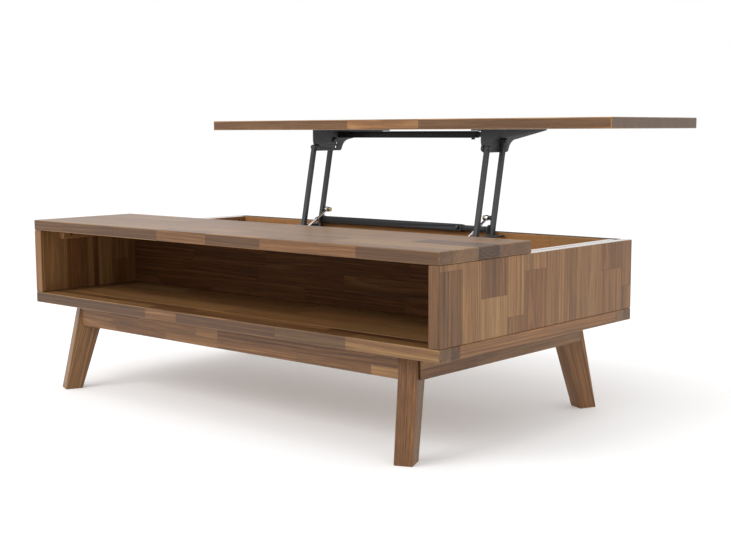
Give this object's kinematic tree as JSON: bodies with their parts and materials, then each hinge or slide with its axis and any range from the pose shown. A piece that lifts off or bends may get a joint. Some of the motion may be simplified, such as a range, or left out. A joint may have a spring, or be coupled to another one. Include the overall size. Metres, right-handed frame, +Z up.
{
  "type": "lift top coffee table",
  "caption": "Solid wood coffee table with an open front cubby and a lift top that rises towards the sitter on steel linkages with gas struts.",
  "frame": {"origin": "on the floor, under the middle of the box around the raised table", "axes": "+X along the table's length, +Y from the cubby's open front to the back where the lift top goes, +Z up"},
  "size_m": [1.2, 0.9364, 0.6204],
  "materials": {
    "wood": "satin lacquer over staves of mixed tone",
    "inner_wood": "thin satin lacquer",
    "steel": "fine black powder coat",
    "pin_steel": "blackened",
    "rod_steel": "polished",
    "brass": "dull yellow plating"
  },
  "bodies": {
    "case": {"fixed_top": "wood", "bottom_front_rail": "wood", "bottom_rear_rail": "wood", "bottom_left_rail": "wood", "bottom_right_rail": "wood", "bottom_panel": "wood", "left_side_panel": "wood", "right_side_panel": "wood", "back_panel": "wood", "cubby_back": "wood", "left_partition": "inner_wood", "right_partition": "inner_wood", "left_front_batten": "inner_wood", "left_rear_batten": "inner_wood", "right_front_batten": "inner_wood", "right_rear_batten": "inner_wood", "front_left_leg": "wood", "front_right_leg": "wood", "rear_left_leg": "wood", "rear_right_leg": "wood", "front_apron": "wood", "rear_apron": "wood", "left_apron": "wood", "right_apron": "wood", "left_base_bracket": "steel", "left_front_base_pin": "pin_steel", "left_rear_base_pin": "pin_steel", "left_strut_anchor_stud": "pin_steel", "right_base_bracket": "steel", "right_front_base_pin": "pin_steel", "right_rear_base_pin": "pin_steel", "right_strut_anchor_stud": "pin_steel"},
    "rear_arm_frame": {"left_rear_arm": "steel", "right_rear_arm": "steel", "left_strut_top_stud": "brass", "right_strut_top_stud": "brass", "lower_crossbar_outer": "steel", "lower_crossbar_inner": "steel", "lower_clamp_screw": "pin_steel"},
    "lifting_top": {"lift_top": "wood", "left_top_bracket": "steel", "right_top_bracket": "steel", "left_front_top_pin": "pin_steel", "left_rear_top_pin": "pin_steel", "right_front_top_pin": "pin_steel", "right_rear_top_pin": "pin_steel", "upper_crossbar_outer": "steel", "upper_crossbar_inner": "steel", "upper_clamp_screw": "pin_steel"},
    "left_front_link": {"left_front_arm": "steel"},
    "right_front_link": {"right_front_arm": "steel"},
    "left_rod": {"left_strut_rod": "rod_steel"},
    "right_rod": {"right_strut_rod": "rod_steel"},
    "left_tube": {"left_strut_tube": "steel"},
    "right_tube": {"right_strut_tube": "steel"}
  },
  "joints": [
    {"name": "lift", "type": "hinge", "parent": "case", "child": "rear_arm_frame", "pos_m": [0, 0.14886, 0.3428], "axis": [1, 0, 0], "range_deg": [0, 102.2]},
    {"name": "top_level", "type": "hinge", "parent": "rear_arm_frame", "child": "lifting_top", "pos_m": [0, 0.19615, 0.57115], "axis": [1, 0, 0], "range_deg": [-102.3, 0]},
    {"name": "left_front_swing", "type": "hinge", "parent": "case", "child": "left_front_link", "pos_m": [-0.266, 0.08446, 0.3253], "axis": [1, 0, 0], "range_deg": [0, 102.3]},
    {"name": "right_front_swing", "type": "hinge", "parent": "case", "child": "right_front_link", "pos_m": [0.266, 0.08446, 0.3253], "axis": [1, 0, 0], "range_deg": [0, 102.3]},
    {"name": "left_rod_swing", "type": "hinge", "parent": "rear_arm_frame", "child": "left_rod", "pos_m": [-0.248, 0.16007, 0.39695], "axis": [1, 0, 0], "range_deg": [-107.5, 0]},
    {"name": "right_rod_swing", "type": "hinge", "parent": "rear_arm_frame", "child": "right_rod", "pos_m": [0.248, 0.16007, 0.39695], "axis": [1, 0, 0], "range_deg": [-107.5, 0]},
    {"name": "left_strut_slide", "type": "slide", "parent": "left_rod", "child": "left_tube", "axis": [0, 0.8747, 0.4847], "range_m": [0, 0.084]},
    {"name": "right_strut_slide", "type": "slide", "parent": "right_rod", "child": "right_tube", "axis": [0, 0.8747, 0.4847], "range_m": [0, 0.084]}
  ],
  "couplings": [
    {"joint": "top_level", "follows": "lift", "ratio": -1},
    {"joint": "left_front_swing", "follows": "lift", "ratio": 1},
    {"joint": "right_front_swing", "follows": "lift", "ratio": 1},
    {"joint": "left_rod_swing", "follows": "lift", "ratio": -1.0509},
    {"joint": "right_rod_swing", "follows": "lift", "ratio": -1.0509},
    {"joint": "left_strut_slide", "follows": "lift", "m_per_rad": 0.047065},
    {"joint": "right_strut_slide", "follows": "lift", "m_per_rad": 0.047065}
  ]
}
